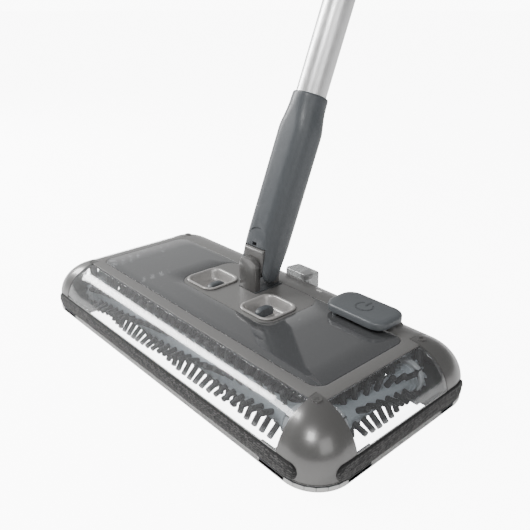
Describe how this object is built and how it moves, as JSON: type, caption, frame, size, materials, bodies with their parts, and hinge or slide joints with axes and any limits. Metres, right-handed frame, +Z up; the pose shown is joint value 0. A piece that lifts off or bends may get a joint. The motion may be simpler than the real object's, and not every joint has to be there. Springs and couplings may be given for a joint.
{
  "type": "cordless carpet sweeper",
  "caption": "Low rectangular battery floor sweeper with a driven brush along each edge, a two-door dust bin and a tilting tube handle on a swivel.",
  "frame": {"origin": "middle of the centre skid's foot, on the floor under the middle of the head", "axes": "+X to the right along the head's long front edge, +Y to the rear (the handle leans that way), +Z up"},
  "size_m": [0.32, 0.5178, 1.0589],
  "materials": {
    "bumper": "coarse looped pile",
    "cap": "metallic grey satin",
    "steel": "plated",
    "clear": "smoke clear, polished",
    "smoke": "grey satin",
    "light_grey": "moulded",
    "lens": "translucent white",
    "cup": "silver satin",
    "slate": "fine satin",
    "grip": "soft touch",
    "tube": "satin anodised",
    "black": "moulded",
    "wrap": "shrink wrap",
    "board": "solder mask",
    "brass": "turned",
    "brush": "moulded core with dark bristles",
    "chassis": "moulded"
  },
  "bodies": {
    "head": {"bumper_front": "bumper", "bumper_rear": "bumper", "bumper_left": "bumper", "bumper_right": "bumper", "corner_cap_front_left": "cap", "cap_screw_front_left": "steel", "corner_cap_front_right": "cap", "cap_screw_front_right": "steel", "corner_cap_rear_left": "cap", "cap_screw_rear_left": "steel", "corner_cap_rear_right": "cap", "cap_screw_rear_right": "steel", "window_front": "clear", "window_rear": "clear", "window_left": "clear", "window_right": "clear", "top_frame": "smoke", "charge_light": "lens", "clear_top": "clear", "handle_plate": "chassis", "finger_cup_left": "cup", "latch_spring_left": "steel", "finger_cup_right": "cup", "latch_spring_right": "steel", "handle_yoke": "slate", "yoke_screw": "steel", "swivel_pin": "steel", "pedal_spring": "steel", "power_switch": "black", "battery_pack": "wrap", "circuit_board": "board", "charge_port": "smoke", "charge_jack": "black", "idler_axle": "steel", "motor": "steel", "motor_cover": "smoke", "door_pin_left": "steel", "door_pin_right": "steel", "chassis": "chassis"},
    "latch_left": {"bin_latch_left": "slate"},
    "latch_right": {"bin_latch_right": "slate"},
    "knuckle": {"swivel_knuckle": "slate"},
    "handle": {"handle_neck": "slate", "tube_lower": "tube", "tube_middle": "tube", "tube_upper": "tube", "handle_grip": "grip"},
    "button_lower": {"tube_button_lower": "slate"},
    "button_middle": {"tube_button_middle": "slate"},
    "pedal": {"power_pedal": "slate"},
    "idler": {"idler_gear": "light_grey"},
    "pinion": {"motor_pinion": "brass"},
    "front_roller": {"brush_front": "brush"},
    "rear_roller": {"brush_rear": "brush"},
    "left_roller": {"brush_left": "brush"},
    "right_roller": {"brush_right": "brush"},
    "door_left": {"bin_door_left": "chassis"},
    "door_right": {"bin_door_right": "chassis"}
  },
  "joints": [
    {"name": "handle_lean", "type": "hinge", "parent": "head", "child": "knuckle", "pos_m": [0, 0.024, 0.0565], "axis": [0, 1, 0], "range_deg": [-20, 20]},
    {"name": "handle_tilt", "type": "hinge", "parent": "knuckle", "child": "handle", "pos_m": [0, 0.024, 0.0565], "axis": [-1, 0, 0], "range_deg": [-22.3, 35]},
    {"name": "button_lower_press", "type": "slide", "parent": "handle", "child": "button_lower", "axis": [0, 0.9252, -0.3795], "range_m": [0, 0.0026], "stiffness_N_per_m": 900, "springref_m": -0.001},
    {"name": "button_middle_press", "type": "slide", "parent": "handle", "child": "button_middle", "axis": [0, 0.9252, -0.3795], "range_m": [0, 0.0026], "stiffness_N_per_m": 900, "springref_m": -0.001},
    {"name": "pedal_press", "type": "slide", "parent": "head", "child": "pedal", "axis": [0, 0, -1], "range_m": [0, 0.0024], "stiffness_N_per_m": 2500, "springref_m": -0.001, "deforming": ["pedal_spring"]},
    {"name": "latch_left_slide", "type": "slide", "parent": "head", "child": "latch_left", "axis": [1, 0, 0], "range_m": [0, 0.0021], "stiffness_N_per_m": 600, "springref_m": -0.002, "deforming": ["latch_spring_left"]},
    {"name": "latch_right_slide", "type": "slide", "parent": "head", "child": "latch_right", "axis": [-1, 0, 0], "range_m": [0, 0.0021], "stiffness_N_per_m": 600, "springref_m": -0.002, "deforming": ["latch_spring_right"]},
    {"name": "door_left_swing", "type": "hinge", "parent": "head", "child": "door_left", "pos_m": [-0.0995, 0, 0.0042], "axis": [0, 1, 0], "range_deg": [0, 75]},
    {"name": "door_right_swing", "type": "hinge", "parent": "head", "child": "door_right", "pos_m": [0.0995, 0, 0.0042], "axis": [0, -1, 0], "range_deg": [0, 75]},
    {"name": "rear_roller_spin", "type": "hinge", "parent": "head", "child": "rear_roller", "pos_m": [0, 0.049, 0.0178], "axis": [1, 0, 0], "continuous": true},
    {"name": "front_roller_spin", "type": "hinge", "parent": "head", "child": "front_roller", "pos_m": [0, -0.052, 0.0178], "axis": [1, 0, 0], "continuous": true},
    {"name": "left_roller_spin", "type": "hinge", "parent": "head", "child": "left_roller", "pos_m": [-0.132, 0, 0.0178], "axis": [0, 1, 0], "continuous": true},
    {"name": "right_roller_spin", "type": "hinge", "parent": "head", "child": "right_roller", "pos_m": [0.132, 0, 0.0178], "axis": [0, 1, 0], "continuous": true},
    {"name": "idler_spin", "type": "hinge", "parent": "head", "child": "idler", "pos_m": [0.107, 0.02903, 0.01515], "axis": [1, 0, 0], "continuous": true},
    {"name": "pinion_spin", "type": "hinge", "parent": "head", "child": "pinion", "pos_m": [0.107, 0.021, 0.0268], "axis": [1, 0, 0], "continuous": true}
  ],
  "couplings": [
    {"joint": "front_roller_spin", "follows": "rear_roller_spin", "ratio": -1},
    {"joint": "right_roller_spin", "follows": "rear_roller_spin", "ratio": -1},
    {"joint": "left_roller_spin", "follows": "rear_roller_spin", "ratio": 1},
    {"joint": "idler_spin", "follows": "rear_roller_spin", "ratio": -1.2222},
    {"joint": "pinion_spin", "follows": "rear_roller_spin", "ratio": 2.2}
  ]
}
